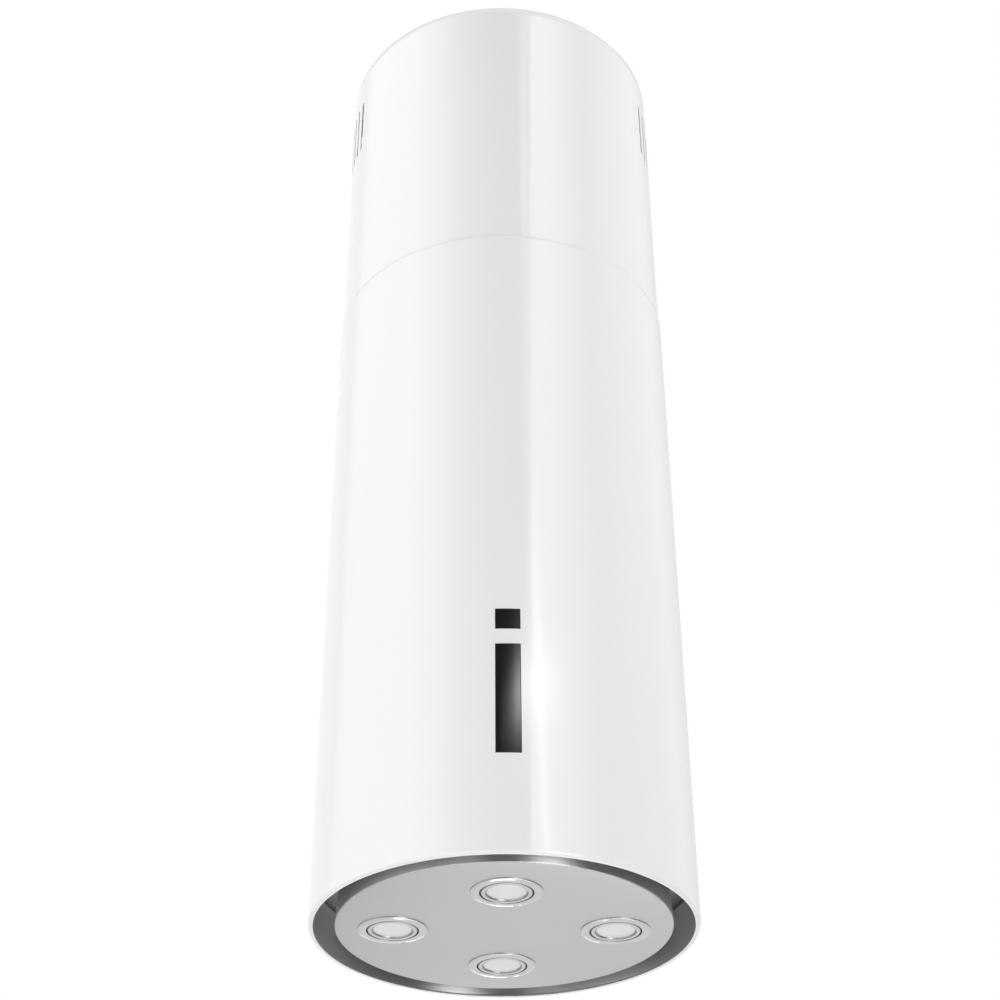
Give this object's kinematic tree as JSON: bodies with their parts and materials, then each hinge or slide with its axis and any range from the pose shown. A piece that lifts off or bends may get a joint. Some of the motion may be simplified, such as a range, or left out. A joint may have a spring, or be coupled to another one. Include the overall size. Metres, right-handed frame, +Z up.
{
  "type": "island range hood",
  "caption": "Cylindrical ceiling-hung range hood with a telescopic chimney, hinged perimeter panel with lamps, touch controls and a duct blower.",
  "frame": {"origin": "centre of the ceiling plate's top face, where the hood meets the ceiling", "axes": "+Z up, -Y towards the front with the display and touch window, +X to the right as seen from the front"},
  "size_m": [0.39, 0.3899, 1.135],
  "materials": {
    "white_paint": "gloss white powder coat",
    "stainless": "brushed stainless steel",
    "galvanised": "galvanised sheet",
    "zinc_screw": "bright zinc plate",
    "filter_metal": "satin aluminium",
    "dark_plastic": "moulded dark plastic",
    "casing_plastic": "moulded grey plastic",
    "motor_metal": "black enamel",
    "impeller_metal": "plain sheet",
    "box_metal": "grey powder coat",
    "circuit_board": "solder mask",
    "black_glass": "polished black glass",
    "lamp_metal": "satin silver",
    "lens": "frosted lens"
  },
  "bodies": {
    "ceiling_frame": {"ceiling_plate": "galvanised", "upper_upright_1": "galvanised", "upper_upright_2": "galvanised", "upper_upright_3": "galvanised", "upper_upright_4": "galvanised", "upper_tube": "white_paint", "tube_brackets": "galvanised", "ceiling_screws": "zinc_screw"},
    "hood_body": {"lower_shell": "white_paint", "shell_hangers": "galvanised", "lower_upright_1": "galvanised", "lower_upright_2": "galvanised", "lower_upright_3": "galvanised", "lower_upright_4": "galvanised", "clamp_screws": "zinc_screw", "standoffs": "zinc_screw", "deck_screws": "zinc_screw", "lining_band": "stainless", "intake_deck": "stainless", "hinge_arms": "galvanised", "magnet_catches": "dark_plastic", "filter_frame": "filter_metal", "filter_mesh": "filter_metal", "blower_box": "galvanised", "bridge_plate": "galvanised", "casing_left": "casing_plastic", "casing_right": "casing_plastic", "motor_case": "motor_metal", "motor_bracket": "galvanised", "outlet_duct": "casing_plastic", "outlet_collar": "casing_plastic", "blower_screws": "zinc_screw", "power_box": "box_metal", "power_box_lid": "box_metal", "driver_board": "circuit_board", "cable_gland": "dark_plastic", "display_window": "black_glass", "touch_window": "black_glass", "control_housing": "dark_plastic", "control_board": "circuit_board", "control_studs": "zinc_screw"},
    "panel": {"perimeter_panel": "stainless", "hinge_pins": "zinc_screw", "lamp_bezel_1": "lamp_metal", "lamp_bezel_2": "lamp_metal", "lamp_bezel_3": "lamp_metal", "lamp_bezel_4": "lamp_metal", "lamp_lens_1": "lens", "lamp_lens_2": "lens", "lamp_lens_3": "lens", "lamp_lens_4": "lens", "lamp_body_1": "lamp_metal", "lamp_body_2": "lamp_metal", "lamp_body_3": "lamp_metal", "lamp_body_4": "lamp_metal"},
    "wheel": {"impeller": "impeller_metal", "motor_shaft": "zinc_screw"},
    "left_flap": {"flap_left": "casing_plastic"},
    "right_flap": {"flap_right": "casing_plastic"},
    "latch": {"filter_latch": "dark_plastic"}
  },
  "joints": [
    {"name": "hood_height", "type": "slide", "parent": "ceiling_frame", "child": "hood_body", "axis": [0, 0, 1], "range_m": [0, 0.375]},
    {"name": "panel_hinge", "type": "hinge", "parent": "hood_body", "child": "panel", "pos_m": [0, 0.148, -1.126], "axis": [1, 0, 0], "range_deg": [0, 80]},
    {"name": "wheel_spin", "type": "hinge", "parent": "hood_body", "child": "wheel", "pos_m": [0, 0.014, -0.945], "axis": [1, 0, 0], "continuous": true},
    {"name": "left_flap_hinge", "type": "hinge", "parent": "hood_body", "child": "left_flap", "pos_m": [-0.0032, 0, -0.713], "axis": [0, 1, 0], "range_deg": [0, 80]},
    {"name": "right_flap_hinge", "type": "hinge", "parent": "hood_body", "child": "right_flap", "pos_m": [0.0032, 0, -0.713], "axis": [0, -1, 0], "range_deg": [0, 80]},
    {"name": "latch_slide", "type": "slide", "parent": "hood_body", "child": "latch", "axis": [0, 1, 0], "range_m": [0, 0.005], "stiffness_N_per_m": 400, "springref_m": -0.004}
  ]
}
